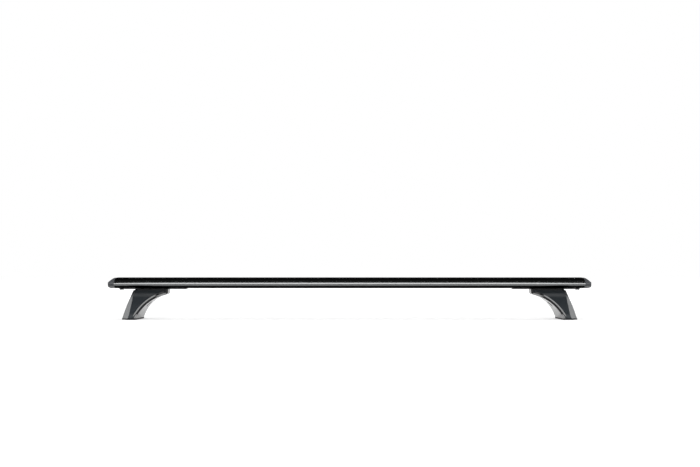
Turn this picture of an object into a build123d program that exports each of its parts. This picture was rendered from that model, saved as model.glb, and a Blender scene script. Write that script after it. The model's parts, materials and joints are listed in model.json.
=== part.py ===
"""Roof rack crossbar: an aerofoil bar on two flared legs, with channel strips, caps and clamping hardware.

X runs along the bar, +Y is the blunt leading edge, +Z is up. The origin is on the roof plane, midway between
the legs and on the line of the bar's channels. All sizes are in millimetres. Every piece of an end is drawn
at the +X end, where X grows outboard, and mirrored to make the -X end.
"""

from build123d import *
from math import atan2, cos, degrees, hypot, radians, sin, sqrt
import os

# Bar: overall size and the outside of its section
overall_length = 1260.0
cap_reach = 18.0
belly_height = 81.5
bar_height = 28.0
lead_reach = 29.5
trail_reach = 48.5
nose_height = 11.0
lead_radius = 9.8
trail_radius = 4.6
crest_flat = 18.0
belly_flat = 26.0

# Bar: walls, and the channels in its crest and belly
skin = 2.0
web = 2.2
floor_web = 2.4
lip = 2.5
channel_width = 23.0
top_slot = 12.0
top_channel_depth = 9.8
under_slot = 13.0

# Rubber strips: the crown in its seat, the barbs under the lips
crown_shoulder = 1.8
crown_seat = 1.2
crown_proud = 0.7
fit_gap = 0.2
barb = 1.3
barb_height = 1.8

# Place of the leg, from the end of the bar to its clamp screw
clamp_inset = 83.0

# Leg: side outline, with its reaches along the bar taken from the clamp screw
toe_reach = 53.0
top_reach = 38.5
foot_reach = 64.5
arch_foot = 25.0
arch_crown = 47.5
toe_depth = 14.2
arch_radius = 100.0
back_radius = 400.0
toe_corner = 3.4
seam_corner = 3.0

# Leg: end outline, and the facets across its outboard corners
foot_half = 54.5
neck_half = 19.5
ankle_z = 8.0
neck_depth = 15.2
flare_blend = 30.0
facet_top_reach = 28.0
facet_top_margin = 0.5
facet_foot_reach = 47.5
facet_turn = 50.0

# Leg: walls, ribs and the gap round its cover
lining = 5.0
flange = 6.0
base_thickness = 11.0
cover_wall = 2.6
cover_gap = 0.3
cover_drop = 2.7
rib_thickness = 4.0
rib_top_reach = 28.0
rib_foot_reach = 50.0
rib_gap = 0.6
boss_wall = 3.2

# Base pad and the roof bolt's sleeve
pad_thickness = 3.0
pad_lip = 0.6
bolt_reach = 31.0
bolt_hole = 6.6
sleeve_wall = 1.7
sleeve_recess = 0.6
sleeve_gap = 0.05
groove_width = 1.6
groove_depth = 0.8
groove_bow = 8.0
groove_margin = 15.0
groove_end = 4.0
groove_middle = 15.0

# Clamping hardware: M8 cap screw, spring washer and channel nut
screw_diameter = 8.0
screw_end = 1.2
head_diameter = 13.0
head_height = 8.0
hex_flats = 6.0
hex_depth = 4.0
key_clearance = 0.7
screw_clearance = 0.5
thread_gap = 0.05
washer_margin = 0.15
washer_thickness = 2.0
washer_split = 2.0
nut_length = 32.0
nut_height = 6.0
nut_gap = 0.8

# Spacer strip under the belly, slotted for the leg's travel, and the filler between the two spacers
spacer_length = 164.0
spacer_proud = 2.3
spacer_shoulder = 1.3
spacer_edge = 0.6
spacer_gap = 3.0
filler_gap = 2.0
travel_in = 40.0
travel_out = 5.0

# End cap: plugs, dome, finger recess and the tongue in the belly channel
plug_depth = 24.0
plug_wall = 1.8
plug_gap = 0.25
cap_wall = 1.0
cap_pocket = 9.0
cap_crest_run = 4.6
cap_slope_foot = 13.0
cap_round = 8.0
cap_bow = 2.6
cap_corner = 4.5
recess_inset = 5.0
recess_length = 6.0
recess_width = 11.0
recess_depth = 3.0
tongue_length = 16.0
tongue_gap = 0.3
tongue_head = 2.4
tab_length = 10.0
tab_proud = 4.0
tab_edge = 1.2
cap_rib_length = 8.0
cap_rib_width = 2.8
cap_rib_pitch = 6.2
cap_rib_proud = 0.6

# How far a cut runs past the faces that it opens, and how closely two computed places agree
past = 1.0
same = 0.01

# Places along the bar, and the toe's round corner, that follow from the sizes above
bar_end = overall_length / 2 - cap_reach
clamp_x = bar_end - clamp_inset
bolt_x = clamp_x + bolt_reach
leg_inboard = clamp_x - toe_reach
leg_foot_outboard = clamp_x + foot_reach
tongue_end = bar_end - tongue_length
spacer_outboard = tongue_end - spacer_gap
spacer_inboard = spacer_outboard - spacer_length
filler_half = spacer_inboard - filler_gap
toe_radius = lining + seam_corner

# Heights and widths that follow from the sizes above
leg_top = belly_height - spacer_proud
cover_top = leg_top - cover_drop
flange_bottom = leg_top - flange
base_top = pad_thickness + base_thickness
shoulder_z = leg_top - neck_depth
lips_top = belly_height + lip
channel_half = channel_width / 2
slot_half = under_slot / 2
crown_half = top_slot / 2 + crown_shoulder
top_channel_top = bar_height - crown_seat - lip
top_channel_floor = top_channel_top - top_channel_depth
under_channel_top = top_channel_floor - floor_web
sleeve_radius = bolt_hole / 2 + sleeve_wall
screw_hole = screw_diameter / 2 + screw_clearance
key_bore = head_diameter / 2 + key_clearance
screw_seat = flange_bottom - washer_thickness


def box_between(x, y, z):
    """A block between two values along each axis, each given as (low, high)."""
    centre = Pos((x[0] + x[1]) / 2, (y[0] + y[1]) / 2, (z[0] + z[1]) / 2)
    return centre * Box(x[1] - x[0], y[1] - y[0], z[1] - z[0])


def rectangle_between(u, v):
    """A flat rectangle between two values along each of its axes."""
    return Pos((u[0] + u[1]) / 2, (v[0] + v[1]) / 2) * Rectangle(u[1] - u[0], v[1] - v[0])


def upright(x, radius, z):
    """A vertical round bar on the leg's middle plane, at x, between two heights."""
    return Pos(x, 0, (z[0] + z[1]) / 2) * Cylinder(radius, z[1] - z[0])


def along_bar(face, start, length):
    """Extrudes a section drawn in (Y, height above the belly) along +X from start."""
    plane = Plane(origin=(start, 0, belly_height), x_dir=(0, 1, 0), z_dir=(1, 0, 0))
    return extrude(plane * face, length, dir=plane.z_dir)


def across(face, half):
    """Extrudes a side outline drawn in (X, Z) equally to both sides of the middle plane."""
    plane = Plane(origin=(0, half, 0), x_dir=(1, 0, 0), z_dir=(0, -1, 0))
    return extrude(plane * face, 2 * half, dir=plane.z_dir)


def circle_centre(p, q, radius, side):
    """Centre of a circle through p and q, to the right (side 1) or the left (side -1) of the way p to q."""
    run, rise = q[0] - p[0], q[1] - p[1]
    chord = hypot(run, rise)
    reach = side * sqrt(radius**2 - chord**2 / 4)
    return ((p[0] + q[0]) / 2 + rise / chord * reach, (p[1] + q[1]) / 2 - run / chord * reach)


def quarter(flat_end, level, nose, nose_radius, up, inset):
    """One of the bar's four arcs, from the end of a level flat to where it meets a nose circle.

    The arc leaves the flat level and runs into the nose circle without a corner. It returns the arc and the
    angle of the meeting point as seen from the nose's centre.
    """
    run, rise = nose[0] - flat_end, abs(nose[1] - level)
    radius = (run**2 + rise**2 - nose_radius**2) / (2 * (rise - nose_radius))
    centre = (flat_end, level - up * radius)
    angle = degrees(atan2(nose[1] - centre[1], nose[0] - centre[0]))
    start = 90.0 * up
    return CenterArc(centre, radius - inset, start, angle - start), angle


def bar_outline(inset=0.0):
    """The bar's section as a face in (Y, height above the belly), drawn in by inset all round."""
    lead_nose = (lead_reach - lead_radius, nose_height)
    trail_nose = (trail_radius - trail_reach, nose_height)
    crest, belly = crest_flat / 2, belly_flat / 2
    lead_top, lead_top_angle = quarter(crest, bar_height, lead_nose, lead_radius, 1, inset)
    trail_top, trail_top_angle = quarter(-crest, bar_height, trail_nose, trail_radius, 1, inset)
    lead_under, lead_under_angle = quarter(belly, 0.0, lead_nose, lead_radius, -1, inset)
    trail_under, trail_under_angle = quarter(-belly, 0.0, trail_nose, trail_radius, -1, inset)
    lead_sweep = lead_top_angle - lead_under_angle
    trail_sweep = (trail_under_angle - trail_top_angle) % 360.0
    edges = [
        Line((-crest, bar_height - inset), (crest, bar_height - inset)),
        lead_top,
        CenterArc(lead_nose, lead_radius - inset, lead_under_angle, lead_sweep),
        lead_under,
        Line((-belly, inset), (belly, inset)),
        trail_under,
        CenterArc(trail_nose, trail_radius - inset, trail_top_angle, trail_sweep),
        trail_top,
    ]
    return make_face(edges)


def side_cavity(side, gap=0.0):
    """One of the bar's two long hollows, on the leading (1) or the trailing (-1) side of the channels."""
    start = side * (channel_half + web + gap)
    edge = side * (lead_reach + trail_reach)
    return bar_outline(skin + gap) & rectangle_between(sorted((start, edge)), (0, bar_height))


def bar_extrusion():
    """The aluminium bar: a closed skin, two hollows, and an open channel in the crest and in the belly."""
    section = bar_outline() - side_cavity(-1) - side_cavity(1)
    section -= rectangle_between((-channel_half, channel_half), (lip, under_channel_top))
    section -= rectangle_between((-slot_half, slot_half), (-past, lip))
    section -= rectangle_between((-channel_half, channel_half), (top_channel_floor, top_channel_top))
    section -= rectangle_between((-top_slot / 2, top_slot / 2), (top_channel_floor, bar_height + past))
    section -= rectangle_between((-crown_half, crown_half), (bar_height - crown_seat, bar_height + past))
    return along_bar(section, -bar_end, 2 * bar_end)


def barbed_stem(half, root, lips, into):
    """A strip's stem between two lips, from root, with barbs past them. into is the way in: 1 up, -1 down."""
    seat = lips + into * fit_gap / 2
    barbs = Polyline(
        (-half - barb, seat),
        (half + barb, seat),
        (half - barb, seat + into * barb_height),
        (barb - half, seat + into * barb_height),
        close=True,
    )
    stem = rectangle_between((-half, half), sorted((root, seat + into * barb_height / 2)))
    return stem + make_face(barbs)


def top_strip():
    """The rubber strip along the crest: a low crown in its seat, a stem in the slot and two barbs."""
    half = crown_half - fit_gap
    seat = bar_height - crown_seat
    crown = make_face(
        [
            ThreePointArc((-half, bar_height), (0, bar_height + crown_proud), (half, bar_height)),
            Line((half, bar_height), (half, seat)),
            Line((half, seat), (-half, seat)),
            Line((-half, seat), (-half, bar_height)),
        ]
    )
    section = crown + barbed_stem(top_slot / 2 - fit_gap, seat, top_channel_top, -1)
    return along_bar(section, -bar_end, 2 * bar_end)


def underside_filler():
    """The rubber strip that closes the belly slot, flush, between the two legs' spacer strips."""
    section = barbed_stem(slot_half - fit_gap, fit_gap / 2, lip, 1)
    return along_bar(section, -filler_half, 2 * filler_half)


def spacer_strip():
    """The strip in the belly slot over the leg. It stands proud, for the leg's flange to bear on."""
    half = slot_half + spacer_shoulder
    stem = slot_half - fit_gap
    section = rectangle_between((-half, half), (-spacer_proud, 0))
    section += rectangle_between((-stem, stem), (-spacer_proud, lip - fit_gap))
    strip = along_bar(section, spacer_inboard, spacer_length)
    strip = chamfer(strip.edges().group_by(Axis.Z)[0].filter_by(Axis.X), spacer_edge)
    middle = clamp_x + (travel_out - travel_in) / 2
    slot = SlotCenterToCenter(travel_in + travel_out, 2 * screw_hole)
    return strip - Pos(middle, 0, leg_top - past) * extrude(slot, lips_top - leg_top + 2 * past)


def channel_nut():
    """The flat steel nut that slides in the belly channel and takes the clamp screw."""
    half, nut_top = channel_half - nut_gap, lips_top + nut_height
    x = (clamp_x - nut_length / 2, clamp_x + nut_length / 2)
    nut = box_between(x, (-half, half), (lips_top, nut_top))
    return nut - upright(clamp_x, screw_diameter / 2 + thread_gap, (lips_top - past, nut_top + past))


def clamp_screw():
    """The socket head cap screw that draws the leg up against the bar. Its head seats below the flange."""
    head = upright(clamp_x, head_diameter / 2, (screw_seat - head_height, screw_seat))
    shank = upright(clamp_x, screw_diameter / 2, (screw_seat, lips_top + nut_height + screw_end))
    socket = RegularPolygon(hex_flats / 2, 6, major_radius=False)
    return head + shank - Pos(clamp_x, 0, screw_seat - head_height) * extrude(socket, hex_depth)


def lock_washer():
    """The split spring washer between the screw's head and the flange."""
    through = (screw_seat - past, flange_bottom + past)
    ring = upright(clamp_x, head_diameter / 2 - washer_margin, (screw_seat, flange_bottom))
    ring -= upright(clamp_x, screw_diameter / 2 + washer_margin, through)
    return ring - box_between((clamp_x, clamp_x + head_diameter), (0, washer_split), through)


arch_start = (clamp_x + arch_foot, pad_thickness)
arch_end = (clamp_x - arch_crown, leg_top - toe_depth)
arch_centre = circle_centre(arch_start, arch_end, arch_radius, -1)
back_start = (clamp_x + top_reach, leg_top)
back_end = (leg_foot_outboard, pad_thickness)
back_centre = circle_centre(back_start, back_end, back_radius, 1)


def end_outline(inset):
    """The leg seen along X: an upright neck and foot with a flare between them, drawn in by inset.

    It runs on above and below the leg, so that the caller trims it to height.
    """
    beyond = 2 * leg_top
    flare = [(foot_half, -leg_top), (foot_half, ankle_z), (neck_half, shoulder_z), (neck_half, beyond)]
    mirrored = [(-y, z) for y, z in reversed(flare)]
    outline = make_face(Polyline(*flare, *mirrored, close=True))
    bends = [v for v in outline.vertices() if min(abs(v.Y - ankle_z), abs(v.Y - shoulder_z)) < same]
    outline = fillet(bends, flare_blend)
    return offset(outline, -inset, kind=Kind.INTERSECTION) if inset else outline


def leg_block(inset=0.0, low=pad_thickness, high=leg_top):
    """The leg as one solid block, with its sides, back and facets drawn in by inset."""
    length = foot_reach + toe_reach + 2 * past
    reach = rectangle_between((leg_inboard, leg_inboard + length), (low, high))
    side = Pos(*back_centre) * Circle(back_radius - inset) & reach
    end_plane = Plane(origin=(leg_inboard - past, 0, 0), x_dir=(0, 1, 0), z_dir=(1, 0, 0))
    block = across(side, 2 * foot_half) & extrude(end_plane * end_outline(inset), length)
    for side_sign in (-1, 1):
        block = split(block, bisect_by=facet_plane(side_sign, inset), keep=Keep.BOTTOM)
    return block


def facet_plane(side_sign, inset):
    """The plane that cuts the leg's outboard corner on one side. Its normal points away from the leg."""
    top = Vector(clamp_x + facet_top_reach, side_sign * (neck_half + facet_top_margin), leg_top)
    foot = Vector(clamp_x + facet_foot_reach, side_sign * foot_half, 0)
    turn = radians(facet_turn)
    level = Vector(cos(turn), -side_sign * sin(turn), 0)
    normal = level.cross(foot - top).normalized() * side_sign
    return Plane(origin=top - normal * inset, x_dir=foot - top, z_dir=normal)


def arch_zone(grow):
    """The round space inboard of the leg's arch, grown outwards by grow."""
    return across(Pos(*arch_centre) * Circle(arch_radius + grow), 2 * foot_half)


def behind_arch(margin, corner=0.0):
    """What lies outboard of the toe and above the arch by margin, with a round of corner at the toe."""
    outline = rectangle_between((leg_inboard + margin, 2 * leg_foot_outboard), (0, leg_top + past))
    outline -= Pos(*arch_centre) * Circle(arch_radius + margin)
    toe = [v for v in outline.vertices() if v.X < leg_inboard + margin + same]
    if corner:
        outline = fillet(min(toe, key=lambda v: v.Y), corner)
    return across(outline, 2 * foot_half)


def hardware_cuts():
    """The bores of the leg: the key's way to the clamp screw, the screw's hole and the roof bolt's sleeve."""
    cuts = upright(clamp_x, key_bore, (pad_thickness, flange_bottom))
    cuts += upright(clamp_x, screw_hole, (flange_bottom - past, leg_top + past))
    return cuts + upright(bolt_x, sleeve_radius + sleeve_gap, (0, base_top + past))


def leg_bracket():
    """The cast inner part of the leg: the curved lining, the toe, the flange under the bar, base and ribs."""
    block = leg_block()
    end_sides = [e for e in block.faces().sort_by(Axis.X)[0].edges() if abs(e.tangent_at(0.5).Z) > same]
    lining_wall = chamfer(end_sides, toe_corner) - behind_arch(lining)
    core = leg_block(cover_wall + cover_gap)
    x, y = (leg_inboard + lining / 2, leg_foot_outboard), (-foot_half, foot_half)
    inner = core & box_between(x, y, (flange_bottom, leg_top))
    inner += core & box_between(x, y, (pad_thickness, base_top))
    inner += core & upright(clamp_x, key_bore + boss_wall, (pad_thickness, leg_top))
    inner += core & ribs()
    return (lining_wall + inner) & behind_arch(0, toe_radius) - hardware_cuts()


def ribs():
    """Two upright gussets between the flange and the base, one on each side of the bores."""
    clear_of_boss = key_bore + boss_wall + rib_gap
    foot, top = clamp_x + rib_foot_reach, clamp_x + rib_top_reach
    outline = [(leg_inboard, leg_top), (top, leg_top), (foot, base_top), (foot, pad_thickness)]
    gusset = make_face(Polyline(*outline, (leg_inboard, pad_thickness), close=True))
    return across(gusset, clear_of_boss + rib_thickness) - across(gusset, clear_of_boss)


def leg_cover():
    """The moulded shell round the sides and back of the leg. It draws off outboard, along X."""
    low = pad_thickness + cover_gap
    shell = leg_block(0, low, cover_top) - leg_block(cover_wall, low - past, cover_top + past)
    return shell & behind_arch(lining + cover_gap, seam_corner)


def base_pad():
    """The rubber pad under the leg: the foot's outline with a small lip, and a bowed groove underneath."""
    foot = leg_block(-pad_lip) - arch_zone(-pad_lip)
    pad = extrude(foot.faces().sort_by(Axis.Z)[0], pad_thickness, dir=(0, 0, -1))
    pad -= upright(bolt_x, sleeve_radius + sleeve_gap, (-past, pad_thickness + past))
    middle = leg_foot_outboard - groove_margin
    bow = [(middle - groove_bow, foot_half - groove_end), (middle, groove_middle / 2)]
    bow += [(x, -y) for x, y in reversed(bow)]
    return pad - extrude(trace(Polyline(*bow), groove_width), groove_depth)


def roof_bolt_sleeve():
    """The steel sleeve that carries the roof bolt's load through the base and the rubber."""
    tube = upright(bolt_x, sleeve_radius, (sleeve_recess, base_top))
    return tube - upright(bolt_x, bolt_hole / 2, (0, base_top + past))


def straight_sided(face):
    """The face with straight lines between its corners in place of its outward arcs."""
    middle = face.center()
    corners = sorted(face.vertices(), key=lambda v: atan2(v.Y - middle.Y, v.X - middle.X))
    return make_face(Polyline(*[(v.X, v.Y) for v in corners], close=True))


def cap_dome():
    """The cap's outside: the bar's section, rounded off towards its tip in side view and in plan."""
    tip = bar_end + cap_reach
    slope = [(tip, belly_height + cap_slope_foot), (bar_end + cap_crest_run, belly_height + bar_height)]
    inner = [(bar_end, belly_height + bar_height), (bar_end, belly_height)]
    side = make_face(Polyline((tip, belly_height), *slope, *inner, close=True))
    side = fillet([v for v in side.vertices() if v.X > bar_end + same], cap_round)
    shoulder, middle = tip - cap_bow, (lead_reach - trail_reach) / 2
    plan = make_face(
        [
            ThreePointArc((shoulder, -trail_reach), (tip, middle), (shoulder, lead_reach)),
            Line((shoulder, lead_reach), (bar_end, lead_reach)),
            Line((bar_end, lead_reach), (bar_end, -trail_reach)),
            Line((bar_end, -trail_reach), (shoulder, -trail_reach)),
        ]
    )
    plan = fillet([v for v in plan.vertices() if v.X > bar_end + same], cap_corner)
    dome = along_bar(bar_outline(), bar_end, cap_reach)
    dome &= across(side, 2 * trail_reach)
    return dome & Pos(0, 0, belly_height) * extrude(plan, bar_height)


def cap_tongue():
    """The cap's tongue: a T in the belly channel, with a tab below the bar and two ribs at its root."""
    low, head_low = belly_height + tongue_gap, lips_top + tongue_gap
    half, head_half = slot_half - tongue_gap, channel_half - tongue_gap
    x, tab_x = (tongue_end, bar_end), (tongue_end, tongue_end + tab_length)
    tongue = box_between(x, (-half, half), (low, head_low + tongue_head))
    tongue += box_between(x, (-head_half, head_half), (head_low, head_low + tongue_head))
    tab = box_between(tab_x, (-half, half), (belly_height - tab_proud, low))
    tongue += chamfer(tab.edges().group_by(Axis.Z)[0].filter_by(Axis.Y), tab_edge)
    for rib_middle in (-cap_rib_pitch / 2, cap_rib_pitch / 2):
        rib_y = (rib_middle - cap_rib_width / 2, rib_middle + cap_rib_width / 2)
        tongue += box_between((bar_end - cap_rib_length, bar_end), rib_y, (low - cap_rib_proud, low))
    return tongue


def end_cap():
    """The moulded end cap: the dome, two hollow plugs that slide into the bar, the tongue and a recess."""
    cap, plug_start = cap_dome() + cap_tongue(), bar_end - plug_depth
    for side in (-1, 1):
        cap += along_bar(side_cavity(side, plug_gap), plug_start, plug_depth + cap_wall)
    for side in (-1, 1):
        pocket = straight_sided(side_cavity(side, plug_gap + plug_wall))
        cap -= along_bar(pocket, plug_start, plug_depth + cap_pocket)
    recess_x = (bar_end + recess_inset, bar_end + recess_inset + recess_length)
    recess_y = (-recess_width / 2, recess_width / 2)
    return cap - box_between(recess_x, recess_y, (belly_height - past, belly_height + recess_depth))


one_off = {
    "bar_extrusion": bar_extrusion(),
    "top_strip": top_strip(),
    "underside_filler": underside_filler(),
}
each_end = {
    "end_cap": end_cap(),
    "leg_bracket": leg_bracket(),
    "leg_cover": leg_cover(),
    "base_pad": base_pad(),
    "roof_bolt_sleeve": roof_bolt_sleeve(),
    "spacer_strip": spacer_strip(),
    "channel_nut": channel_nut(),
    "clamp_screw": clamp_screw(),
    "lock_washer": lock_washer(),
}

os.makedirs("parts", exist_ok=True)
for name, shape in one_off.items():
    export_step(shape, f"parts/{name}.step")
for name, shape in each_end.items():
    export_step(shape, f"parts/right_{name}.step")
    export_step(mirror(shape, about=Plane.YZ), f"parts/left_{name}.step")
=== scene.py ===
"""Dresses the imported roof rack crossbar: finer meshes, finishes, and a plain white studio.

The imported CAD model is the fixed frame. +X runs along the bar, +Y is its blunt leading edge and +Z is up,
with the origin on the roof plane. Sizes in the classes are in millimetres, and meshes are made in metres.
"""

from __future__ import annotations

import json
import logging
import math
from dataclasses import dataclass, field
from enum import Enum
from typing import Callable

import bmesh
import bpy
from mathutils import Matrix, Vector

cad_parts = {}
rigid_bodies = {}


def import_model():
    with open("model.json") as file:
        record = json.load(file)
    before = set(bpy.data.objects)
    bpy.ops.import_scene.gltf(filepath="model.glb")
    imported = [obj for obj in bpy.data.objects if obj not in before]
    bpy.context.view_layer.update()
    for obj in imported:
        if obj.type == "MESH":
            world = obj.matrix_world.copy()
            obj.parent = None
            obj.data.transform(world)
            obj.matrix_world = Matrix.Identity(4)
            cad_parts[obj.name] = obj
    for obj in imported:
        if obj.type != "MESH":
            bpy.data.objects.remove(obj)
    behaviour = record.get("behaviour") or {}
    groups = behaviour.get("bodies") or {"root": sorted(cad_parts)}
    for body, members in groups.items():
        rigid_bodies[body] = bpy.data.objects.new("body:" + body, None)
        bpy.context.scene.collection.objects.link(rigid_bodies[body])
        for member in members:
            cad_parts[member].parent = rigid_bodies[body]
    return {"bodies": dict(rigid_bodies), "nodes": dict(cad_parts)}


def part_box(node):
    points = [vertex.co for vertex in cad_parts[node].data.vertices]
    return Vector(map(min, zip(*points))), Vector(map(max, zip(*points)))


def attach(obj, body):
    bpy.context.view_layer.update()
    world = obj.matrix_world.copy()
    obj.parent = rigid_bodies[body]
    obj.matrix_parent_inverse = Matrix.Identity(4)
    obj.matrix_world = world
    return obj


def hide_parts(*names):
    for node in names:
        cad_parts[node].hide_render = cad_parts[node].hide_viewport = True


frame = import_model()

LOG = logging.getLogger("crossbar")
MM = 0.001
# Distances in metres under which corners are one, in a CAD node's mesh and in a new one
CAD_MERGE = 2e-6
WELD = 1e-6
WHITE = (1.0, 1.0, 1.0, 1.0)
SIDES = {"right": 1.0, "left": -1.0}
Point = tuple[float, float]


class Slot(Enum):
    """The record's material slots."""

    BAR = "bar_metal"
    STRIP = "strip_rubber"
    SPACER = "spacer_plastic"
    CAP = "cap_plastic"
    BRACKET = "bracket_gloss"
    COVER = "cover_plastic"
    PAD = "pad_rubber"
    SLEEVE = "sleeve_steel"
    NUT = "nut_steel"
    SCREW = "screw_steel"


class Effect(Enum):
    """Shader node groups that several finishes share."""

    DRAWN = "drawn_lines"
    GRAIN = "moulded_grain"
    SMUDGE = "handling_marks"


class NodeBench:
    """Adds nodes to a tree and links them, with the values of sockets given by name."""

    def __init__(self, tree: bpy.types.NodeTree) -> None:
        """Keeps the tree that nodes are added to.

        Args:
            tree: The shader or geometry node tree.
        """
        self.tree = tree

    def add(
        self, kind: str, links: dict[str, bpy.types.NodeSocket] | None = None, **values
    ) -> bpy.types.Node:
        """Adds a node, sets its properties or sockets, and links its inputs.

        Args:
            kind: The node's bl_idname.
            links: Output sockets by the name of the input that they go to.
            **values: Values of properties or, with a name that is no property, of input sockets.

        Returns:
            The new node.
        """
        node = self.tree.nodes.new(kind)
        for key, value in values.items():
            if hasattr(node, key):
                setattr(node, key, value)
            else:
                node.inputs[key.replace("_", " ")].default_value = value
        for name, socket in (links or {}).items():
            self.tree.links.new(socket, node.inputs[name])
        return node

    def maths(self, operation: str, *terms: bpy.types.NodeSocket | float) -> bpy.types.NodeSocket:
        """Adds a Math node.

        Args:
            operation: The node's operation.
            *terms: Its inputs in order, each a socket or a number.

        Returns:
            The node's output.
        """
        node = self.add("ShaderNodeMath", operation=operation)
        for place, term in zip(node.inputs, terms):
            if isinstance(term, bpy.types.NodeSocket):
                self.tree.links.new(term, place)
            else:
                place.default_value = term
        return node.outputs[0]


class EffectLibrary:
    """Builds each shared shader group once."""

    def __init__(self) -> None:
        """Starts with no group built."""
        self.makers: dict[Effect, Callable[[], bpy.types.NodeTree]] = {
            Effect.DRAWN: self.drawn_lines,
            Effect.GRAIN: self.moulded_grain,
            Effect.SMUDGE: self.handling_marks,
        }
        self.built: dict[Effect, bpy.types.NodeTree] = {}

    def get(self, effect: Effect) -> bpy.types.NodeTree:
        """Returns the group of an effect, built on first use.

        Args:
            effect: The effect wanted.

        Returns:
            Its shader node group.
        """
        if effect not in self.built:
            self.built[effect] = self.makers[effect]()
        return self.built[effect]

    @staticmethod
    def blank(effect: Effect, inputs: dict[str, float], outputs: list[str]) -> tuple[NodeBench, dict, dict]:
        """Makes an empty group with float sockets.

        Args:
            effect: The effect that names the group.
            inputs: Default values by input name.
            outputs: Output names.

        Returns:
            The bench on the group, its input sockets and its output sockets, both by name.
        """
        tree = bpy.data.node_groups.new(effect.value, "ShaderNodeTree")
        face = tree.interface
        for name, value in inputs.items():
            socket = face.new_socket(name, in_out="INPUT", socket_type="NodeSocketFloat")
            socket.default_value = value
        for name in outputs:
            face.new_socket(name, in_out="OUTPUT", socket_type="NodeSocketFloat")
        bench = NodeBench(tree)
        entry, out = bench.add("NodeGroupInput"), bench.add("NodeGroupOutput")
        return bench, {n: entry.outputs[n] for n in inputs}, {n: out.inputs[n] for n in outputs}

    def drawn_lines(self) -> bpy.types.NodeTree:
        """Fine lines along the bar, as a drawing or extruding die leaves them.

        Returns:
            The group. Height is for bump, and Tone runs from 0 to 1 for colour and roughness.
        """
        inputs = {"Line Scale": 900.0, "Stretch": 0.004}
        bench, ins, outs = self.blank(Effect.DRAWN, inputs, ["Height", "Tone"])
        place = bench.add("ShaderNodeTexCoord").outputs["Object"]
        along = bench.add("ShaderNodeCombineXYZ", Y=1.0, Z=1.0, links={"X": ins["Stretch"]})
        drawn = bench.add("ShaderNodeVectorMath", operation="MULTIPLY")
        bench.tree.links.new(place, drawn.inputs[0])
        bench.tree.links.new(along.outputs[0], drawn.inputs[1])
        fine = bench.add(
            "ShaderNodeTexNoise", Detail=3.0, Roughness=0.6,
            links={"Vector": drawn.outputs[0], "Scale": ins["Line Scale"]},
        )
        wide = bench.add("ShaderNodeTexNoise", Scale=140.0, Detail=2.0, links={"Vector": drawn.outputs[0]})
        tone = bench.maths("MULTIPLY", bench.maths("ADD", fine.outputs[0], wide.outputs[0]), 0.5)
        bench.tree.links.new(fine.outputs[0], outs["Height"])
        bench.tree.links.new(tone, outs["Tone"])
        return bench.tree

    def moulded_grain(self) -> bpy.types.NodeTree:
        """The fine pebbled grain of an etched mould or a powder coat.

        Returns:
            The group. Height is for bump, and Tone runs from 0 to 1 for colour and roughness.
        """
        inputs = {"Grain Scale": 1400.0, "Pebble": 0.5}
        bench, ins, outs = self.blank(Effect.GRAIN, inputs, ["Height", "Tone"])
        place = bench.add("ShaderNodeTexCoord").outputs["Object"]
        noise = bench.add(
            "ShaderNodeTexNoise", Detail=2.0, Roughness=0.55,
            links={"Vector": place, "Scale": ins["Grain Scale"]},
        )
        cells = bench.add("ShaderNodeTexVoronoi", links={"Vector": place, "Scale": ins["Grain Scale"]})
        mixed = bench.add("ShaderNodeMix", links={"Factor": ins["Pebble"]})
        bench.tree.links.new(noise.outputs[0], mixed.inputs["A"])
        bench.tree.links.new(cells.outputs["Distance"], mixed.inputs["B"])
        slow = bench.add("ShaderNodeTexNoise", Scale=38.0, Detail=3.0, links={"Vector": place})
        bench.tree.links.new(mixed.outputs["Result"], outs["Height"])
        bench.tree.links.new(slow.outputs[0], outs["Tone"])
        return bench.tree

    def handling_marks(self) -> bpy.types.NodeTree:
        """Broad, faint patches where hands and cloths have changed the gloss.

        Returns:
            The group. Mask runs from 0, clean, to 1, touched.
        """
        bench, ins, outs = self.blank(Effect.SMUDGE, {"Patch Scale": 14.0}, ["Mask"])
        place = bench.add("ShaderNodeTexCoord").outputs["Object"]
        patches = bench.add(
            "ShaderNodeTexNoise", Detail=5.0, Roughness=0.6, Distortion=0.6,
            links={"Vector": place, "Scale": ins["Patch Scale"]},
        )
        ramp = bench.add("ShaderNodeMapRange", interpolation_type="SMOOTHSTEP", From_Min=0.42, From_Max=0.68)
        bench.tree.links.new(patches.outputs[0], ramp.inputs["Value"])
        bench.tree.links.new(ramp.outputs[0], outs["Mask"])
        return bench.tree


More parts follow.
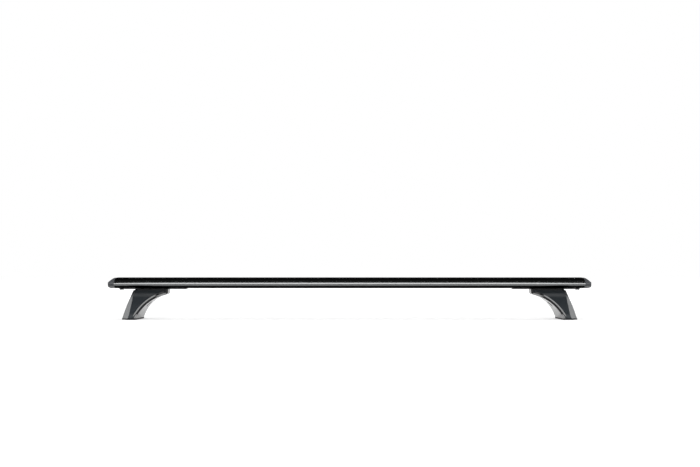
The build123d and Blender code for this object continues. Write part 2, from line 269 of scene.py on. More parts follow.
@dataclass(frozen=True)
class Finish:
    """One finish: a base colour with its shade, gloss, grain and marks."""

    slot: Slot
    colour: tuple[float, float, float]
    shade: tuple[float, float, float]
    roughness: float
    rough_spread: float
    effect: Effect
    settings: dict[str, float] = field(default_factory=dict)
    metallic: float = 0.0
    specular: float = 0.5
    edge_tint: float = 1.0
    coat: float = 0.0
    coat_roughness: float = 0.1
    bump_depth: float = 0.00002
    bump_strength: float = 0.3
    touched: float = 0.06

    def material(self, effects: EffectLibrary) -> bpy.types.Material:
        """Builds the finish's material.

        Args:
            effects: The shared shader groups.

        Returns:
            The material.
        """
        made = bpy.data.materials.new(self.slot.value + "_finish")
        made.use_nodes = True
        made.node_tree.nodes.clear()
        bench = NodeBench(made.node_tree)
        texture = bench.add("ShaderNodeGroup", node_tree=effects.get(self.effect))
        for name, value in self.settings.items():
            texture.inputs[name].default_value = value
        marks = bench.add("ShaderNodeGroup", node_tree=effects.get(Effect.SMUDGE))
        tone = texture.outputs["Tone"]
        paint = bench.add("ShaderNodeMix", data_type="RGBA", links={"Factor": tone})
        paint.inputs["A"].default_value = (*self.shade, 1.0)
        paint.inputs["B"].default_value = (*self.colour, 1.0)
        low, high = self.roughness - self.rough_spread, self.roughness + self.rough_spread
        gloss = bench.add("ShaderNodeMapRange", To_Min=low, To_Max=high, links={"Value": tone})
        worn = bench.maths("MULTIPLY_ADD", marks.outputs["Mask"], self.touched, gloss.outputs[0])
        bump = bench.add(
            "ShaderNodeBump", Strength=self.bump_strength, Distance=self.bump_depth,
            links={"Height": texture.outputs["Height"]},
        )
        skin = bench.add(
            "ShaderNodeBsdfPrincipled",
            Metallic=self.metallic,
            Specular_IOR_Level=self.specular,
            Specular_Tint=(*[self.edge_tint] * 3, 1.0),
            Coat_Weight=self.coat,
            Coat_Roughness=self.coat_roughness,
            links={
                "Base Color": paint.outputs["Result"],
                "Roughness": worn,
                "Normal": bump.outputs[0],
            },
        )
        bench.add("ShaderNodeOutputMaterial", links={"Surface": skin.outputs[0]})
        return made


FINISHES = [
    Finish(
        Slot.BAR, (0.152, 0.155, 0.156), (0.131, 0.134, 0.135), 0.14, 0.02, Effect.DRAWN,
        {"Line Scale": 1500.0}, metallic=1.0, specular=0.0, edge_tint=0.02,
        bump_depth=0.00001, bump_strength=0.08, touched=0.03,
    ),
    Finish(
        Slot.STRIP, (0.030, 0.034, 0.040), (0.022, 0.025, 0.030), 0.72, 0.06, Effect.DRAWN,
        {"Line Scale": 700.0}, specular=0.08, bump_strength=0.2,
    ),
    Finish(
        Slot.SPACER, (0.080, 0.084, 0.088), (0.066, 0.069, 0.073), 0.45, 0.06, Effect.DRAWN,
        {"Line Scale": 900.0}, specular=0.4, bump_strength=0.2,
    ),
    Finish(
        Slot.CAP, (0.040, 0.043, 0.048), (0.030, 0.033, 0.037), 0.46, 0.05, Effect.GRAIN,
        {"Grain Scale": 1100.0, "Pebble": 0.6}, specular=0.45, bump_depth=0.00005, bump_strength=0.35,
    ),
    Finish(
        Slot.BRACKET, (0.0075, 0.0075, 0.0085), (0.0055, 0.0055, 0.0065), 0.16, 0.03, Effect.GRAIN,
        {"Grain Scale": 420.0, "Pebble": 0.1}, specular=0.5, coat=0.2, coat_roughness=0.08,
        bump_depth=0.00002, bump_strength=0.12, touched=0.05,
    ),
    Finish(
        Slot.COVER, (0.0110, 0.0155, 0.0195), (0.0085, 0.0120, 0.0150), 0.30, 0.04, Effect.GRAIN,
        {"Grain Scale": 1300.0, "Pebble": 0.6}, specular=0.16, bump_depth=0.00003, bump_strength=0.25,
    ),
    Finish(
        Slot.PAD, (0.016, 0.016, 0.018), (0.011, 0.011, 0.012), 0.62, 0.06, Effect.GRAIN,
        {"Grain Scale": 700.0, "Pebble": 0.3}, specular=0.35, bump_depth=0.00006, bump_strength=0.4,
    ),
    Finish(
        Slot.SLEEVE, (0.66, 0.66, 0.68), (0.52, 0.52, 0.55), 0.26, 0.06, Effect.GRAIN,
        {"Grain Scale": 900.0, "Pebble": 0.2}, metallic=1.0, bump_strength=0.15,
    ),
    Finish(
        Slot.NUT, (0.52, 0.52, 0.54), (0.38, 0.38, 0.41), 0.34, 0.06, Effect.GRAIN,
        {"Grain Scale": 800.0, "Pebble": 0.3}, metallic=1.0, bump_strength=0.2,
    ),
    Finish(
        Slot.SCREW, (0.30, 0.30, 0.31), (0.20, 0.20, 0.21), 0.32, 0.06, Effect.GRAIN,
        {"Grain Scale": 1000.0, "Pebble": 0.3}, metallic=1.0, bump_strength=0.2,
    ),
]


class FinishShelf:
    """Holds the material of each slot."""

    def __init__(self) -> None:
        """Builds every finish."""
        effects = EffectLibrary()
        self.materials = {finish.slot: finish.material(effects) for finish in FINISHES}

    def paint_node(self, node: bpy.types.Object, slot: Slot) -> None:
        """Gives a CAD node its finish.

        Args:
            node: The CAD node's object.
            slot: Its material slot.
        """
        for place in node.material_slots:
            place.material = self.materials[slot]

    def paint_piece(self, piece: bpy.types.Object, slot: Slot) -> None:
        """Gives a new piece one finish all over.

        Args:
            piece: The piece.
            slot: The slot it takes its finish from.
        """
        piece.data.materials.clear()
        piece.data.materials.append(self.materials[slot])


class MeshBench:
    """Turns outlines and CAD nodes into finished pieces."""

    FLAT_ANGLE = 0.25
    FLAT_PULL = 90

    @staticmethod
    def link(name: str, mesh: bpy.types.Mesh) -> bpy.types.Object:
        """Puts a mesh in the scene as an object at the origin.

        Args:
            name: The object's name.
            mesh: Its mesh.

        Returns:
            The object.
        """
        piece = bpy.data.objects.new(name, mesh)
        bpy.context.scene.collection.objects.link(piece)
        return piece

    @staticmethod
    def baked(piece: bpy.types.Object) -> bpy.types.Object:
        """Applies every modifier of a piece.

        Args:
            piece: The piece with its modifiers.

        Returns:
            The same piece as a plain mesh.
        """
        bpy.context.view_layer.update()
        graph = bpy.context.evaluated_depsgraph_get()
        mesh = bpy.data.meshes.new_from_object(piece.evaluated_get(graph))
        piece.modifiers.clear()
        piece.data = mesh
        return piece

    @classmethod
    def soften(
        cls,
        piece: bpy.types.Object,
        width: float,
        wide: float = 0.0,
        chosen: Callable[[Vector], bool] | None = None,
        segments: int = 2,
        sharp: float = 32.0,
    ) -> None:
        """Rounds the sharp edges of a piece and shades the rest smooth.

        Args:
            piece: The piece.
            width: Width of the rounding in millimetres.
            wide: Width of the rounding on chosen edges.
            chosen: Whether a sharp edge with its middle at a place, in millimetres, is one of those.
            segments: Faces across the rounding.
            sharp: Angle in degrees from which an edge counts as sharp.
        """
        most = max(width, wide)
        work = bmesh.new()
        work.from_mesh(piece.data)
        layers = work.edges.layers.float
        weight = layers.get("bevel_weight_edge") or layers.new("bevel_weight_edge")
        for edge in work.edges:
            turned = len(edge.link_faces) == 2 and edge.calc_face_angle(0.0) > math.radians(sharp)
            middle = (edge.verts[0].co + edge.verts[1].co) / (2 * MM)
            if turned:
                edge[weight] = (wide if chosen and chosen(middle) else width) / most
        work.to_mesh(piece.data)
        work.free()
        piece.data.shade_smooth()
        piece.data.set_sharp_from_angle(angle=math.radians(sharp))
        bevel = piece.modifiers.new("rounded edges", "BEVEL")
        bevel.width = most * MM
        bevel.segments = segments
        bevel.limit_method = "WEIGHT"
        bevel.use_clamp_overlap = False
        bevel.harden_normals = True
        level = piece.modifiers.new("flats kept flat", "WEIGHTED_NORMAL")
        level.weight = cls.FLAT_PULL
        level.keep_sharp = True
        cls.baked(piece)

    @classmethod
    def from_node(
        cls,
        node: str,
        name: str,
        width: float,
        wide: float = 0.0,
        chosen: Callable[[Vector], bool] | None = None,
    ) -> bpy.types.Object:
        """Copies a CAD node, merges its loose triangles and rounds its edges.

        Args:
            node: The CAD node.
            name: The new piece's name.
            width: Width of the rounding in millimetres.
            wide: Width of the rounding on chosen edges.
            chosen: Whether a sharp edge with its middle at a place is one of those.

        Returns:
            The piece, which stands for the node.
        """
        source = bpy.data.objects[node]
        mesh = bpy.data.meshes.new(name)
        work = bmesh.new()
        work.from_mesh(source.data)
        bmesh.ops.remove_doubles(work, verts=work.verts, dist=CAD_MERGE)
        flat = math.radians(cls.FLAT_ANGLE)
        bmesh.ops.dissolve_limit(work, angle_limit=flat, verts=work.verts, edges=work.edges)
        work.to_mesh(mesh)
        work.free()
        piece = cls.link(name, mesh)
        cls.soften(piece, width, wide, chosen)
        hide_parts(node)
        return piece


class ExtrudeTree:
    """The geometry node tree that draws a section out along the bar."""

    NAME = "drawn_section"
    FLAT_ANGLE = 0.1

    def __init__(self) -> None:
        """Builds the tree, with named inputs for the length and the finish."""
        tree = bpy.data.node_groups.new(self.NAME, "GeometryNodeTree")
        face = tree.interface
        face.new_socket("Section", in_out="INPUT", socket_type="NodeSocketGeometry")
        self.length = face.new_socket("Length", in_out="INPUT", socket_type="NodeSocketFloat").identifier
        self.finish = face.new_socket("Finish", in_out="INPUT", socket_type="NodeSocketMaterial").identifier
        face.new_socket("Piece", in_out="OUTPUT", socket_type="NodeSocketGeometry")
        bench = NodeBench(tree)
        entry = bench.add("NodeGroupInput")
        way = bench.add("ShaderNodeCombineXYZ", links={"X": entry.outputs["Length"]})
        drawn = bench.add("GeometryNodeExtrudeMesh", links={"Mesh": entry.outputs["Section"]})
        drawn.inputs["Individual"].default_value = False
        tree.links.new(way.outputs[0], drawn.inputs["Offset"])
        closing = bench.add("GeometryNodeFlipFaces", links={"Mesh": entry.outputs["Section"]})
        both = bench.add("GeometryNodeJoinGeometry")
        tree.links.new(drawn.outputs["Mesh"], both.inputs[0])
        tree.links.new(closing.outputs[0], both.inputs[0])
        welded = bench.add("GeometryNodeMergeByDistance", Distance=WELD, links={"Geometry": both.outputs[0]})
        real = bench.add("GeometryNodeRealizeInstances", links={"Geometry": welded.outputs[0]})
        painted = bench.add(
            "GeometryNodeSetMaterial",
            links={"Geometry": real.outputs[0], "Material": entry.outputs["Finish"]},
        )
        bench.add("NodeGroupOutput", links={"Piece": painted.outputs[0]})
        self.tree = tree

    def draw(
        self, name: str, loops: list[list[Point]], half: float, finish: bpy.types.Material
    ) -> bpy.types.Object:
        """Draws a section out to both sides of the middle.

        Args:
            name: The piece's name.
            loops: Closed outlines in (Y, Z), the outer one and any holes, in millimetres.
            half: Half the length in millimetres.
            finish: The material.

        Returns:
            The piece as a plain mesh.
        """
        work = bmesh.new()
        for loop in loops:
            verts = [work.verts.new((-half * MM, y * MM, z * MM)) for y, z in loop]
            for a, b in zip(verts, verts[1:] + verts[:1]):
                work.edges.new((a, b))
        bmesh.ops.triangle_fill(work, use_beauty=True, edges=work.edges[:], normal=(1.0, 0.0, 0.0))
        for face in work.faces:
            if face.normal.x < 0:
                face.normal_flip()
        mesh = bpy.data.meshes.new(name)
        work.to_mesh(mesh)
        work.free()
        piece = MeshBench.link(name, mesh)
        drawing = piece.modifiers.new("drawn section", "NODES")
        drawing.node_group = self.tree
        drawing[self.length] = 2 * half * MM
        drawing[self.finish] = finish
        MeshBench.baked(piece)
        work = bmesh.new()
        work.from_mesh(piece.data)
        flat = math.radians(self.FLAT_ANGLE)
        bmesh.ops.dissolve_limit(work, angle_limit=flat, verts=work.verts, edges=work.edges)
        work.to_mesh(piece.data)
        work.free()
        return piece


class LipTree:
    """The geometry node tree that draws a sloping lip along a path over a surface."""

    NAME = "lip_along_path"
    NORMAL = "surface_normal"
    SIZES = ("Inset", "Width", "Height", "Root")

    def __init__(self) -> None:
        """Builds the tree, with named inputs for the lip's sizes and the finish."""
        tree = bpy.data.node_groups.new(self.NAME, "GeometryNodeTree")
        face = tree.interface
        face.new_socket("Path", in_out="INPUT", socket_type="NodeSocketGeometry")
        self.sizes = [
            face.new_socket(name, in_out="INPUT", socket_type="NodeSocketFloat").identifier
            for name in self.SIZES
        ]
        self.finish = face.new_socket("Finish", in_out="INPUT", socket_type="NodeSocketMaterial").identifier
        face.new_socket("Piece", in_out="OUTPUT", socket_type="NodeSocketGeometry")
        bench = NodeBench(tree)
        entry = bench.add("NodeGroupInput")
        inset, width, height, root = [entry.outputs[name] for name in self.SIZES]
        far = bench.maths("ADD", inset, width)
        below = bench.maths("MULTIPLY", root, -1.0)
        section = bench.add("GeometryNodeCurvePrimitiveQuadrilateral", mode="POINTS")
        corners = [(inset, below), (far, below), (far, height), (inset, None)]
        for number, (across, up) in enumerate(corners, 1):
            corner = bench.add("ShaderNodeCombineXYZ", links={"Y": across})
            if up:
                tree.links.new(up, corner.inputs["X"])
            tree.links.new(corner.outputs[0], section.inputs[f"Point {number}"])
        curve = bench.add("GeometryNodeMeshToCurve", links={"Mesh": entry.outputs["Path"]})
        normal = bench.add("GeometryNodeInputNamedAttribute", data_type="FLOAT_VECTOR", Name=self.NORMAL)
        turned = bench.add(
            "GeometryNodeSetCurveNormal", mode="FREE",
            links={"Curve": curve.outputs[0], "Normal": normal.outputs["Attribute"]},
        )
        swept = bench.add(
            "GeometryNodeCurveToMesh", Fill_Caps=True,
            links={"Curve": turned.outputs[0], "Profile Curve": section.outputs[0]},
        )
        real = bench.add("GeometryNodeRealizeInstances", links={"Geometry": swept.outputs[0]})
        painted = bench.add(
            "GeometryNodeSetMaterial",
            links={"Geometry": real.outputs[0], "Material": entry.outputs["Finish"]},
        )
        bench.add("NodeGroupOutput", links={"Piece": painted.outputs[0]})
        self.tree = tree

    def draw(
        self, piece: bpy.types.Object, sizes: tuple[float, ...], finish: bpy.types.Material
    ) -> bpy.types.Object:
        """Turns a path with its surface normals into a lip.

        Args:
            piece: An object whose mesh is the path.
            sizes: Inset, width, height and root in millimetres.
            finish: The material.

        Returns:
            The same object as a plain, closed mesh.
        """
        lip = piece.modifiers.new("lip", "NODES")
        lip.node_group = self.tree
        for socket, size in zip(self.sizes, sizes):
            lip[socket] = size * MM
        lip[self.finish] = finish
        MeshBench.baked(piece)
        work = bmesh.new()
        work.from_mesh(piece.data)
        bmesh.ops.remove_doubles(work, verts=work.verts, dist=WELD)
        bmesh.ops.recalc_face_normals(work, faces=work.faces)
        work.to_mesh(piece.data)
        work.free()
        return piece


@dataclass
class Bar:
    """The extruded bar with its rubber strips. Heights in the section are above the belly."""

    belly: float = 81.5
    height: float = 28.0
    lead_reach: float = 29.5
    trail_reach: float = 48.5
    nose: float = 11.0
    lead_radius: float = 9.8
    trail_radius: float = 4.6
    crest_flat: float = 18.0
    belly_flat: float = 26.0
    skin: float = 2.0
    web: float = 2.2
    floor_web: float = 2.4
    lip: float = 2.5
    channel: float = 23.0
    slot: float = 12.0
    channel_depth: float = 9.8
    under_slot: float = 13.0
    shoulder: float = 1.8
    seat: float = 1.2
    proud: float = 0.7
    gap: float = 0.2
    barb: float = 1.3
    barb_height: float = 1.8
    lip_round: float = 0.35
    strip_round: float = 0.25
    arc_steps: int = 28
    nose_steps: int = 32
    crown_steps: int = 24

    def quarter(
        self, flat: float, level: float, nose: Point, radius: float, up: int, inset: float
    ) -> list[Point]:
        """One of the section's four arcs, from a level flat to the nose circle.

        Args:
            flat: Y of the flat's end.
            level: Height of the flat.
            nose: Centre of the nose circle.
            radius: Radius of the nose circle.
            up: 1 for the crest, -1 for the belly.
            inset: How far the outline is drawn in.

        Returns:
            The arc's points, from the flat to the nose.
        """
        run, rise = nose[0] - flat, abs(nose[1] - level)
        big = (run**2 + rise**2 - radius**2) / (2 * (rise - radius))
        centre = (flat, level - up * big)
        start = math.pi / 2 * up
        stop = math.atan2(nose[1] - centre[1], nose[0] - centre[0])
        angles = [start + (stop - start) * i / self.arc_steps for i in range(self.arc_steps + 1)]
        drawn = big - inset
        return [(centre[0] + drawn * math.cos(a), centre[1] + drawn * math.sin(a)) for a in angles]

    def nose_arc(self, centre: Point, radius: float, start: Point, stop: Point, turn: float) -> list[Point]:
        """The nose circle's points strictly between two of its points.

        Args:
            centre: The circle's centre.
            radius: Its radius.
            start: The first point.
            stop: The last point.
            turn: Its sign sets the sweep's way; below zero, the sweep runs clockwise.

        Returns:
            The points in between.
        """
        a = math.atan2(start[1] - centre[1], start[0] - centre[0])
        b = math.atan2(stop[1] - centre[1], stop[0] - centre[0])
        sweep = (b - a) % (2 * math.pi)
        if turn < 0:
            sweep -= 2 * math.pi
        angles = [a + sweep * i / self.nose_steps for i in range(1, self.nose_steps)]
        return [(centre[0] + radius * math.cos(t), centre[1] + radius * math.sin(t)) for t in angles]

    def side(self, lead: bool, inset: float) -> list[Point]:
        """The section's outline on one side, from the crest's flat round the nose to the belly's flat.

        Args:
            lead: True for the leading side at +Y.
            inset: How far the outline is drawn in.

        Returns:
            The points, in order from the crest to the belly.
        """
        sign = 1.0 if lead else -1.0
        reach = self.lead_reach if lead else self.trail_reach
        radius = self.lead_radius if lead else self.trail_radius
        nose = (sign * (reach - radius), self.nose)
        top = self.quarter(sign * self.crest_flat / 2, self.height, nose, radius, 1, inset)
        under = self.quarter(sign * self.belly_flat / 2, 0.0, nose, radius, -1, inset)
        if not lead:
            top = self.mirrored_quarter(self.crest_flat / 2, self.height, -nose[0], radius, 1, inset)
            under = self.mirrored_quarter(self.belly_flat / 2, 0.0, -nose[0], radius, -1, inset)
        middle = self.nose_arc(nose, radius - inset, top[-1], under[-1], -sign)
        return top + middle + under[::-1]

    def mirrored_quarter(
        self, flat: float, level: float, nose_y: float, radius: float, up: int, inset: float
    ) -> list[Point]:
        """A quarter of the trailing side, drawn at +Y and mirrored.

        Args:
            flat: Distance of the flat's end from the middle.
            level: Height of the flat.
            nose_y: Distance of the nose's centre from the middle.
            radius: Radius of the nose circle.
            up: 1 for the crest, -1 for the belly.
            inset: How far the outline is drawn in.

        Returns:
            The arc's points, from the flat to the nose.
        """
        return [(-y, z) for y, z in self.quarter(flat, level, (nose_y, self.nose), radius, up, inset)]

    def cavity(self, lead: bool) -> list[Point]:
        """One of the two long hollows.

        Args:
            lead: True for the hollow at +Y.

        Returns:
            Its closed outline.
        """
        start = self.channel / 2 + self.web
        outline = [(abs(y), z) for y, z in self.side(lead, self.skin)]
        kept: list[Point] = []
        for (y0, z0), (y1, z1) in zip(outline, outline[1:]):
            if (y0 - start) * (y1 - start) < 0:
                share = (start - y0) / (y1 - y0)
                kept.append((start, z0 + share * (z1 - z0)))
            if y1 > start:
                kept.append((y1, z1))
        return kept if lead else [(-y, z) for y, z in kept]

    def bar_loops(self) -> list[list[Point]]:
        """The bar's section: its outside with both channels, and its two hollows.

        Returns:
            Closed outlines in (Y, Z).
        """
        half, slot, under = self.channel / 2, self.slot / 2, self.under_slot / 2
        crown, seat = slot + self.shoulder, self.height - self.seat
        top = seat - self.lip
        floor = top - self.channel_depth
        roof = floor - self.floor_web
        crest_channel = [(crown, seat), (slot, seat), (slot, top), (half, top), (half, floor)]
        belly_channel = [(under, 0.0), (under, self.lip), (half, self.lip), (half, roof)]
        outer = [(crown, self.height), *self.side(True, 0.0), *belly_channel]
        outer += [(-y, z) for y, z in belly_channel[::-1]]
        outer += [*self.side(False, 0.0)[::-1], (-crown, self.height)]
        outer += [(-y, z) for y, z in crest_channel]
        outer += crest_channel[::-1]
        return [self.raised(loop) for loop in (outer, self.cavity(True), self.cavity(False))]

    def raised(self, loop: list[Point]) -> list[Point]:
        """Moves an outline up from the belly to its height over the roof."""
        return [(y, z + self.belly) for y, z in loop]

    def barbs(self, half: float, lips: float, into: int) -> list[Point]:
        """The right half of a strip's barb, from the stem outwards.

        Args:
            half: Half the stem's width.
            lips: Height of the lips' inner face.
            into: 1 where the strip goes in upwards, -1 downwards.

        Returns:
            Points at +Y, from the stem to the barb's end.
        """
        seat = lips + into * self.gap / 2
        deep = seat + into * self.barb_height
        return [(half, seat), (half + self.barb, seat), (half - self.barb, deep)]

    def strip_loop(self) -> list[Point]:
        """The crest strip's section, with its low crown.

        Returns:
            The closed outline in (Y, Z).
        """
        half = self.slot / 2 + self.shoulder - self.gap
        stem, seat = self.slot / 2 - self.gap, self.height - self.seat
        radius = (half**2 + self.proud**2) / (2 * self.proud)
        crown = []
        for i in range(self.crown_steps + 1):
            y = -half + 2 * half * i / self.crown_steps
            crown.append((y, self.height + self.proud - radius + math.sqrt(radius**2 - y**2)))
        right = [(half, seat), (stem, seat), *self.barbs(stem, seat - self.lip, -1)]
        left = [(-y, z) for y, z in right[::-1]]
        return self.raised(crown + right + left)

    def filler_loop(self) -> list[Point]:
        """The belly strip's section.

        Returns:
            The closed outline in (Y, Z).
        """
        stem = self.under_slot / 2 - self.gap
        right = [(stem, self.gap / 2), *self.barbs(stem, self.lip, 1)]
        return self.raised(right + [(-y, z) for y, z in right[::-1]])

    def build(self, shelf: FinishShelf) -> None:
        """Makes the bar and its strips.

        Args:
            shelf: The finishes.
        """
        drawer = ExtrudeTree()
        rows = [
            ("bar_skin", "bar_extrusion", self.bar_loops(), Slot.BAR, self.lip_round),
            ("crest_strip", "top_strip", [self.strip_loop()], Slot.STRIP, self.strip_round),
            ("belly_strip", "underside_filler", [self.filler_loop()], Slot.STRIP, self.strip_round),
        ]
        for name, node, loops, slot, rounding in rows:
            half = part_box(node)[1].x / MM
            piece = drawer.draw(name, loops, half, shelf.materials[slot])
            MeshBench.soften(piece, rounding)
            shelf.paint_piece(piece, slot)
            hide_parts(node)
            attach(piece, "bar")
            LOG.info("%s: %d faces", name, len(piece.data.polygons))


@dataclass
class End:
    """What each end of the bar carries: spacer strip, leg, cover and cap."""

    side: str
    plain: dict[str, tuple[Slot, str]] = field(
        default_factory=lambda: {
            "roof_bolt_sleeve": (Slot.SLEEVE, "leg"),
            "channel_nut": (Slot.NUT, "leg"),
            "clamp_screw": (Slot.SCREW, "leg"),
            "lock_washer": (Slot.SCREW, "leg"),
        }
    )
    rounded: dict[str, tuple[Slot, str, float]] = field(
        default_factory=lambda: {
            "spacer_strip": (Slot.SPACER, "bar", 0.3),
            "leg_bracket": (Slot.BRACKET, "leg", 0.4),
            "leg_cover": (Slot.COVER, "cover", 0.4),
            "base_pad": (Slot.PAD, "leg", 0.25),
            "end_cap": (Slot.CAP, "cap", 0.3),
        }
    )
    mouth_round: float = 0.7
    mouth: Point = (529.0, 7.2)
    mouth_top: float = 47.0
    mouth_reach: float = 0.4
    lip_inset: float = 0.3
    lip_width: float = 3.4
    lip_height: float = 0.85
    lip_root: float = 0.4
    lip_fade: Point = (4.0, 16.0)
    lip_sharp: float = 25.0
    seam: list[Point] = field(
        default_factory=lambda: [
            (559.5, 3.3), (551.6, 20.3), (540.8, 35.4), (525.0, 50.5),
            (511.7, 59.3), (503.8, 63.3), (494.4, 66.9), (485.6, 69.5),
        ]
    )
    seam_reach: float = 1.5
    seam_angle: float = 60.0
    outer_lean: float = 0.35
    flare: list[Point] = field(
        default_factory=lambda: [
            (3.3, 54.2), (15.3, 49.9), (56.7, 24.1), (60.6, 22.0), (64.5, 20.6), (70.0, 19.6),
        ]
    )

    @staticmethod
    def along(line: list[Point], key: int, value: float) -> float:
        """Reads a line of points between two of them.

        Args:
            line: The points, in order.
            key: Which of a point's two numbers is given.
            value: That number.

        Returns:
            The point's other number, or infinity past the line's ends.
        """
        for a, b in zip(line, line[1:]):
            low, high = sorted((a[key], b[key]))
            if low <= value <= high:
                return a[1 - key] + (b[1 - key] - a[1 - key]) * (value - a[key]) / (b[key] - a[key])
        return math.inf

    def on_seam(self, place: Vector) -> bool:
        """Whether an edge's middle lies on the cover's outer edge along the arch."""
        x, y = abs(place.x), abs(place.y)
        near_arch = abs(self.along(self.seam, 1, place.z) - x) < self.seam_reach
        return near_arch and abs(self.along(self.flare, 0, place.z) - y) < self.seam_reach

    def build(self, shelf: FinishShelf, lips: LipTree) -> None:
        """Dresses the end's pieces.

        Args:
            shelf: The finishes.
            lips: The tree that draws the cover's lip.
        """
        for node, (slot, _) in self.plain.items():
            shelf.paint_node(bpy.data.objects[f"{self.side}_{node}"], slot)
        for node, (slot, body, width) in self.rounded.items():
            name = f"{self.side}_{node}"
            mouth = (self.mouth_round, self.on_mouth) if slot is Slot.BRACKET else (0.0, None)
            piece = MeshBench.from_node(name, f"{name}_dressed", width, *mouth)
            shelf.paint_piece(piece, slot)
            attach(piece, "bar" if body == "bar" else f"{self.side}_{body}")
            LOG.info("%s: %d faces", piece.name, len(piece.data.polygons))
        piece = self.seam_lip(lips, shelf.materials[Slot.BRACKET])
        shelf.paint_piece(piece, Slot.BRACKET)
        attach(piece, f"{self.side}_cover")
        LOG.info("%s: %d faces", piece.name, len(piece.data.polygons))

    def on_mouth(self, place: Vector) -> bool:
        """Whether an edge's middle lies on the key bore's mouth in the arch."""
        off_axis = math.hypot(abs(place.x) - self.mouth[0], place.y)
        return place.z < self.mouth_top and abs(off_axis - self.mouth[1]) < self.mouth_reach

    def seam_lip(self, tree: LipTree, finish: bpy.types.Material) -> bpy.types.Object:
        """Makes the raised lip that the cover carries along the arch, front and back.

        Args:
            tree: The geometry node tree that draws a lip along a path.
            finish: The material.

        Returns:
            The piece, drawn along the cover's own outer edge.
        """
        side = SIDES[self.side]
        cover = bmesh.new()
        cover.from_mesh(bpy.data.objects[f"{self.side}_leg_cover"].data)
        bmesh.ops.remove_doubles(cover, verts=cover.verts, dist=CAD_MERGE)
        steep = math.radians(self.seam_angle)
        way = bmesh.new()
        normals: list[Vector] = []
        for face_side in (-1.0, 1.0):
            stops: dict[bmesh.types.BMVert, Vector] = {}
            for edge in cover.edges:
                middle = (edge.verts[0].co + edge.verts[1].co) / (2 * MM)
                sharp = len(edge.link_faces) == 2 and edge.calc_face_angle(0.0) > steep
                if sharp and middle.y * face_side > 0 and self.on_seam(middle):
                    for vert in edge.verts:
                        outer = [f for f in vert.link_faces if f.normal.y * face_side > self.outer_lean]
                        stops[vert] = sum((f.normal * f.calc_area() for f in outer), Vector()).normalized()
            line = sorted(stops, key=lambda vert: vert.co.z)
            run = line[-1].co - line[0].co
            if run.cross(stops[line[0]]).x * side < 0:
                line.reverse()
            low, high = self.lip_fade
            last = None
            for vert in line:
                sunk = 1.0 - min(1.0, max(0.0, (vert.co.z / MM - low) / (high - low)))
                point = way.verts.new(vert.co - stops[vert] * sunk * self.lip_height * MM)
                normals.append(stops[vert])
                if last:
                    way.edges.new((last, point))
                last = point
        name = f"{self.side}_cover_lip"
        mesh = bpy.data.meshes.new(name)
        way.to_mesh(mesh)
        way.free()
        cover.free()
        up = mesh.attributes.new(LipTree.NORMAL, "FLOAT_VECTOR", "POINT")
        for item, normal in zip(up.data, normals):
            item.vector = normal
        sizes = (self.lip_inset, self.lip_width, self.lip_height, self.lip_root)
        piece = tree.draw(MeshBench.link(name, mesh), sizes, finish)
        piece.data.shade_smooth()
        piece.data.set_sharp_from_angle(angle=math.radians(self.lip_sharp))
        return piece


@dataclass
class Softbox:
    """A rectangular lamp that faces the part from a direction and a distance, with an even brightness."""

    name: str
    turn: float
    rise: float
    wide: float
    tall: float
    brightness: float
    distance: float = 9.0

    def build(self) -> None:
        """Adds the lamp. Its angles are in degrees, turn from the camera's side towards +X."""
        lamp = bpy.data.lights.new(self.name, "AREA")
        lamp.shape = "RECTANGLE"
        lamp.size = 2 * self.distance * math.tan(math.radians(self.wide / 2))
        lamp.size_y = 2 * self.distance * math.tan(math.radians(self.tall / 2))
        lamp.energy = self.brightness * math.pi * lamp.size * lamp.size_y
        holder = bpy.data.objects.new(self.name, lamp)
        bpy.context.scene.collection.objects.link(holder)
        turn, rise = math.radians(self.turn), math.radians(self.rise)
        away = Vector((math.sin(turn) * math.cos(rise), -math.cos(turn) * math.cos(rise), math.sin(rise)))
        holder.location = away * self.distance
        holder.rotation_euler = (-away).to_track_quat("-Z", "Y").to_euler()


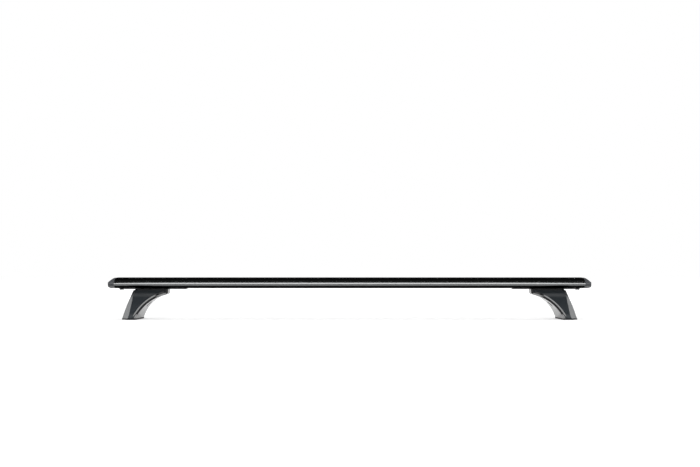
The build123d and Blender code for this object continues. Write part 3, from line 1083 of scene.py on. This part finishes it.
@dataclass
class Studio:
    """White floor and backdrop, soft lamps, and the camera that matches the front view of the photograph."""

    camera_place: tuple[float, float, float] = (0.0, -2.7, 0.115)
    camera_shift: Point = (0.0006, 0.060)
    camera_reach: float = 100.0
    lens: float = 52.60
    sensor: float = 36.0
    floor_half: float = 30.0
    floor_drop: float = 0.0003
    fill: float = 0.05
    sweep_rise: Point = (0.22, 0.50)
    sweep_side: Point = (-0.5, 0.2)
    floor_colour: float = 0.50
    floor_glow: float = 0.55
    floor_near: float = 1.2
    floor_far: float = 3.0
    lamps: list[Softbox] = field(
        default_factory=lambda: [
            Softbox("front low", 0.0, 37.0, 42.0, 40.0, 5.8),
            Softbox("front top", 0.0, 85.5, 30.0, 27.0, 5.8),
            Softbox("right side", 120.0, 20.0, 32.0, 26.0, 4.0),
            Softbox("left side", -120.0, 20.0, 32.0, 26.0, 4.0),
        ]
    )

    @staticmethod
    def seen_by(bench: NodeBench, *rays: str) -> bpy.types.NodeSocket:
        """Adds a value that is 1 for any of the named kinds of ray and 0 for the rest.

        Args:
            bench: The tree that gets the nodes.
            *rays: Output names of the Light Path node.

        Returns:
            The value's socket.
        """
        path = bench.add("ShaderNodeLightPath")
        value = path.outputs[rays[0]]
        for ray in rays[1:]:
            value = bench.maths("MAXIMUM", value, path.outputs[ray])
        return value

    def world(self) -> None:
        """Sets the world: a dim, even room that is white to the camera.

        Reflections show that white low down behind the part, and the room's own level elsewhere.
        """
        made = bpy.data.worlds.new("studio")
        bpy.context.scene.world = made
        made.use_nodes = True
        made.node_tree.nodes.clear()
        bench = NodeBench(made.node_tree)
        sight = bench.add("ShaderNodeTexCoord").outputs["Generated"]
        way = bench.add("ShaderNodeSeparateXYZ", links={"Vector": sight})
        low = bench.add(
            "ShaderNodeMapRange", interpolation_type="SMOOTHSTEP", From_Min=self.sweep_rise[0],
            From_Max=self.sweep_rise[1], To_Min=1.0, To_Max=0.0, links={"Value": way.outputs["Z"]},
        )
        behind = bench.add(
            "ShaderNodeMapRange", interpolation_type="SMOOTHSTEP", From_Min=self.sweep_side[0],
            From_Max=self.sweep_side[1], links={"Value": way.outputs["Y"]},
        )
        sweep = bench.maths("MULTIPLY", low.outputs[0], behind.outputs[0])
        reflected = self.seen_by(bench, "Is Glossy Ray", "Is Transmission Ray")
        mirrored = bench.maths("MULTIPLY", sweep, reflected)
        white = bench.maths("MAXIMUM", mirrored, self.seen_by(bench, "Is Camera Ray"))
        level = bench.add("ShaderNodeMapRange", To_Min=self.fill, To_Max=1.0, links={"Value": white})
        sky = bench.add("ShaderNodeBackground", Color=WHITE, links={"Strength": level.outputs[0]})
        bench.add("ShaderNodeOutputWorld", links={"Surface": sky.outputs[0]})

    def floor_material(self) -> bpy.types.Material:
        """Builds the floor's material: a pale floor that keeps the shadow and is clear from below.

        Returns:
            The material.
        """
        made = bpy.data.materials.new("studio_floor")
        made.use_nodes = True
        made.node_tree.nodes.clear()
        bench = NodeBench(made.node_tree)
        seen = self.seen_by(bench, "Is Camera Ray", "Is Glossy Ray", "Is Transmission Ray")
        reach = bench.add("ShaderNodeVectorMath", operation="LENGTH")
        bench.tree.links.new(bench.add("ShaderNodeTexCoord").outputs["Object"], reach.inputs[0])
        brighter = bench.add(
            "ShaderNodeMapRange", interpolation_type="SMOOTHSTEP", From_Min=self.floor_near,
            From_Max=self.floor_far, To_Min=self.floor_glow, To_Max=1.0,
            links={"Value": reach.outputs["Value"]},
        )
        level = bench.maths("MULTIPLY", seen, brighter.outputs[0])
        matt = bench.add("ShaderNodeBsdfDiffuse", Color=(*[self.floor_colour] * 3, 1.0))
        glow = bench.add("ShaderNodeEmission", Color=WHITE, links={"Strength": level})
        both = bench.add("ShaderNodeAddShader")
        bench.tree.links.new(matt.outputs[0], both.inputs[0])
        bench.tree.links.new(glow.outputs[0], both.inputs[1])
        clear = bench.add("ShaderNodeBsdfTransparent")
        side = bench.add("ShaderNodeNewGeometry")
        mixed = bench.add("ShaderNodeMixShader", links={"Fac": side.outputs["Backfacing"]})
        bench.tree.links.new(both.outputs[0], mixed.inputs[1])
        bench.tree.links.new(clear.outputs[0], mixed.inputs[2])
        bench.add("ShaderNodeOutputMaterial", links={"Surface": mixed.outputs[0]})
        return made

    def build(self) -> None:
        """Builds the whole studio."""
        self.world()
        half = self.floor_half
        mesh = bpy.data.meshes.new("studio_floor")
        low = -self.floor_drop
        corners = [(-half, -half, low), (half, -half, low), (half, half, low), (-half, half, low)]
        mesh.from_pydata(corners, [], [(0, 1, 2, 3)])
        mesh.materials.append(self.floor_material())
        MeshBench.link("studio_floor", mesh)
        for lamp in self.lamps:
            lamp.build()
        camera = bpy.data.cameras.new("photograph")
        camera.lens, camera.sensor_width = self.lens, self.sensor
        camera.shift_x, camera.shift_y = self.camera_shift
        camera.clip_end = self.camera_reach
        holder = bpy.data.objects.new("photograph", camera)
        bpy.context.scene.collection.objects.link(holder)
        holder.location = self.camera_place
        holder.rotation_euler = (math.pi / 2, 0.0, 0.0)
        bpy.context.scene.camera = holder
        bpy.context.scene.view_settings.view_transform = "Standard"


def plain(box: tuple[Vector, Vector]) -> list[list[float]]:
    """A pair of corners as plain lists."""
    return [[float(v) for v in corner] for corner in box]


def main() -> None:
    """Clears what the frame doesn't hold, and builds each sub-assembly and the studio."""
    logging.basicConfig(level=logging.INFO, format="%(message)s")
    carried = {*frame["nodes"].values(), *frame["bodies"].values()}
    for old in [o for o in bpy.data.objects if o not in carried]:
        bpy.data.objects.remove(old)
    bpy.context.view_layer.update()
    shelf = FinishShelf()
    Bar().build(shelf)
    lips = LipTree()
    for side in SIDES:
        End(side).build(shelf, lips)
        LOG.info("%s end dressed", side)
    Studio().build()


if __name__ == "__main__":
    main()
